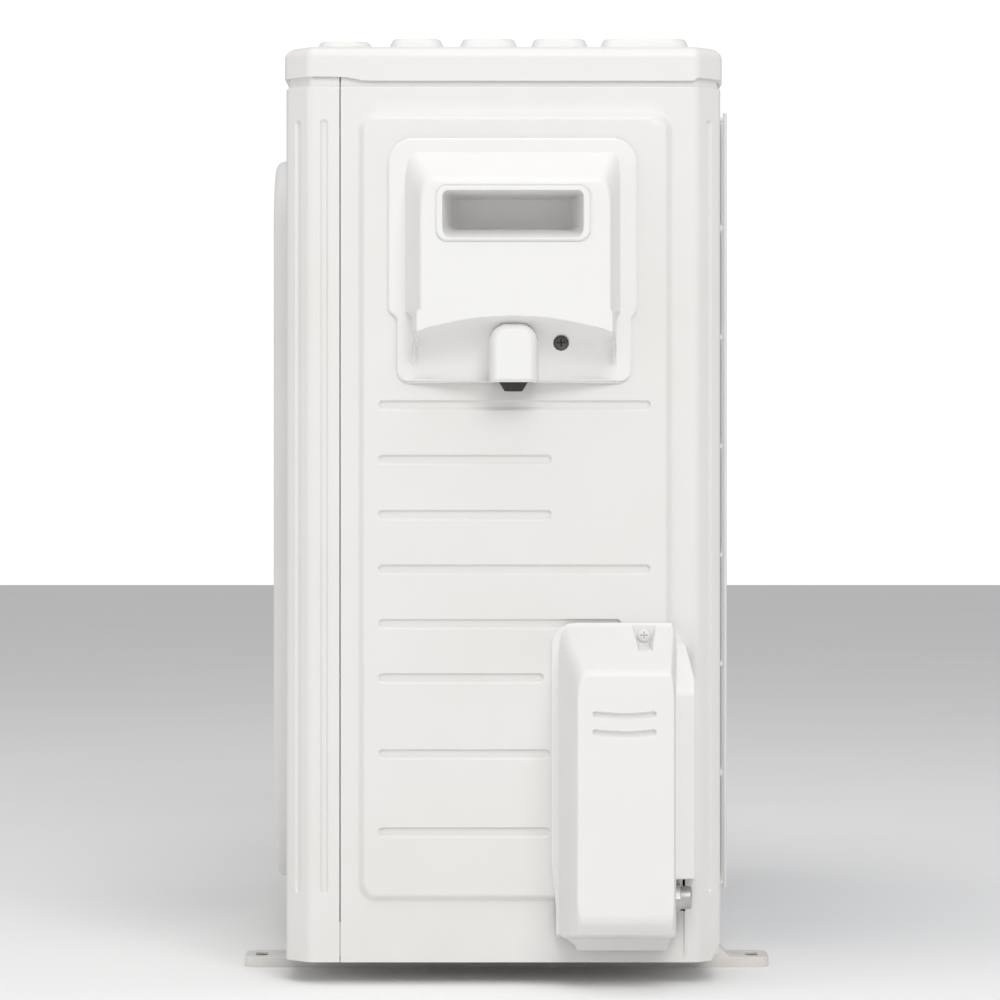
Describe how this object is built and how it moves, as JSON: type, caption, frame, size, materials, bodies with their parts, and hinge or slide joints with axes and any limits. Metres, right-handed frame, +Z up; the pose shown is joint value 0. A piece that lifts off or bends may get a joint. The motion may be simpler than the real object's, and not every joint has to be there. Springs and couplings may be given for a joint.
{
  "type": "split air conditioner outdoor unit",
  "caption": "Box-shaped outdoor condensing unit with a front fan guard, ribbed lid, removable wiring and valve covers on the service side, and slotted feet.",
  "frame": {"origin": "ground plane at the centre of the four foot bolt slots", "axes": "+Z up; the fan guard faces -Y; the service valves and the wiring cover face +X; the coil is at the back, +Y"},
  "size_m": [0.955, 0.384, 0.668],
  "materials": {
    "panel_paint": "semi-gloss powder coat",
    "foot_paint": "semi-gloss powder coat",
    "cover_plastic": "fine satin moulding",
    "guard_plastic": "satin moulding",
    "fan_plastic": "satin moulding",
    "galvanised": "galvanised sheet",
    "guard_wire": "coated wire",
    "coil_fins": "blue coated fins",
    "copper": "bare copper",
    "brass": "machined",
    "black_paint": "gloss enamel",
    "rubber": "matte",
    "black_plastic": "matte",
    "board": "solder mask",
    "capacitor": "drawn can",
    "steel": "zinc plated"
  },
  "bodies": {
    "cabinet": {"base_pan": "foot_paint", "left_foot_rail": "foot_paint", "right_foot_rail": "foot_paint", "front_panel": "panel_paint", "fan_shroud": "galvanised", "fan_guard": "guard_plastic", "guard_screws": "steel", "right_side_panel": "panel_paint", "left_side_panel": "panel_paint", "left_handle": "cover_plastic", "rear_guard": "guard_wire", "partition_plate": "galvanised", "motor_bracket": "galvanised", "fan_motor": "black_paint", "motor_screws": "steel", "coil_fin_pack": "coil_fins", "coil_end_plates": "galvanised", "coil_return_bends": "copper", "compressor_shell": "black_paint", "compressor_base": "black_paint", "compressor_grommets": "rubber", "compressor_bolts": "steel", "compressor_terminal_cover": "black_plastic", "accumulator": "black_paint", "reversing_valve": "brass", "discharge_pipe": "copper", "suction_pipe": "copper", "gas_pipe": "copper", "coil_pipe": "copper", "liquid_pipe": "copper", "capillary_tube": "copper", "filter_drier": "copper", "valve_plate": "galvanised", "gas_valve_body": "brass", "liquid_valve_body": "brass", "gas_flare_nut": "steel", "liquid_flare_nut": "steel", "valve_screws": "steel", "electrical_box": "galvanised", "control_board": "board", "run_capacitor": "capacitor", "terminal_block": "black_plastic", "cable_clamp": "galvanised", "casing_screws": "steel"},
    "lid": {"top_cover": "panel_paint", "top_cover_screws": "steel"},
    "wiring_hatch": {"wiring_cover": "cover_plastic", "wiring_cover_screw": "steel", "cable_gland": "rubber"},
    "valve_hatch": {"valve_cover": "cover_plastic", "valve_cover_screw": "steel"},
    "fan": {"fan_blade": "fan_plastic", "motor_shaft": "steel", "fan_nut": "steel"},
    "gas_cap": {"gas_valve_cap": "brass"},
    "liquid_cap": {"liquid_valve_cap": "brass"},
    "charge_cap": {"charge_port_cap": "brass"},
    "gas_stem": {"gas_valve_stem": "brass"},
    "liquid_stem": {"liquid_valve_stem": "brass"}
  },
  "joints": [
    {"name": "fan_spin", "type": "hinge", "parent": "cabinet", "child": "fan", "pos_m": [-0.115, 0, 0.328], "axis": [0, 1, 0], "continuous": true},
    {"name": "lid_lift", "type": "slide", "parent": "cabinet", "child": "lid", "axis": [0, 0, 1], "range_m": [0, 0.15]},
    {"name": "wiring_hatch_pull", "type": "slide", "parent": "cabinet", "child": "wiring_hatch", "axis": [1, 0, 0], "range_m": [0, 0.1]},
    {"name": "valve_hatch_pull", "type": "slide", "parent": "cabinet", "child": "valve_hatch", "axis": [1, 0, 0], "range_m": [0, 0.12]},
    {"name": "gas_cap_off", "type": "slide", "parent": "cabinet", "child": "gas_cap", "axis": [1, 0, 0], "range_m": [0, 0.012]},
    {"name": "liquid_cap_off", "type": "slide", "parent": "cabinet", "child": "liquid_cap", "axis": [1, 0, 0], "range_m": [0, 0.012]},
    {"name": "charge_cap_off", "type": "slide", "parent": "cabinet", "child": "charge_cap", "axis": [0, -1, 0], "range_m": [0, 0.01]},
    {"name": "gas_stem_turn", "type": "hinge", "parent": "cabinet", "child": "gas_stem", "pos_m": [0.45, 0.092, 0.0635], "axis": [1, 0, 0], "range_deg": [0, 720]},
    {"name": "liquid_stem_turn", "type": "hinge", "parent": "cabinet", "child": "liquid_stem", "pos_m": [0.45, 0.092, 0.142], "axis": [1, 0, 0], "range_deg": [0, 720]}
  ]
}
